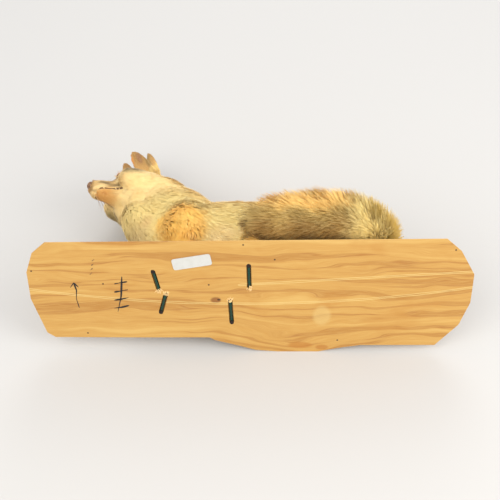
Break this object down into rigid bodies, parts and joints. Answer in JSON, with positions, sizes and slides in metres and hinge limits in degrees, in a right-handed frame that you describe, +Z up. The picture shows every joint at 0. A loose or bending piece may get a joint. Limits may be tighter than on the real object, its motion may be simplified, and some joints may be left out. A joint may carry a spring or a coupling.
{
  "type": "taxidermy fox on a board",
  "caption": "Mounted red fox crouching with its head turned and bushy tail wrapped along its flank, on a wooden board with anchor rods below, lying tipped on its side",
  "frame": {"origin": "on the floor, below the middle of the bounding box", "axes": "+X from the fox's nose end to its tail end, along the board; +Z up; the board's underside faces -Y and a little up, the fox is on the +Y side of it"},
  "size_m": [0.733, 0.4246, 0.2412],
  "materials": {
    "wood": "sawn honey-coloured softwood, bare, with wavy grain",
    "coat": "faded fox fur, cream to orange",
    "coat_tail": "long soft fur, grey-olive to dark brown and cream",
    "glass_eye": "polished dark amber glass",
    "nose_skin": "dried bare nose skin, dull",
    "rod_green": "dark green tarnished rod",
    "paper": "white coated paper label, blank"
  },
  "bodies": {
    "root": {"base_board": "wood", "trunk": "coat", "neck": "coat", "head": "coat", "foreleg_left": "coat", "foreleg_right": "coat", "hindleg_left": "coat", "hindleg_right": "coat", "ear_left": "coat", "ear_right": "coat", "tail_root": "coat_tail", "tail_middle": "coat_tail", "tail_tip": "coat_tail", "eye_left": "glass_eye", "eye_right": "glass_eye", "nose": "nose_skin", "rod_front_left": "rod_green", "rod_front_right": "rod_green", "rod_hind_left": "rod_green", "rod_hind_right": "rod_green", "label": "paper"}
  },
  "joints": []
}
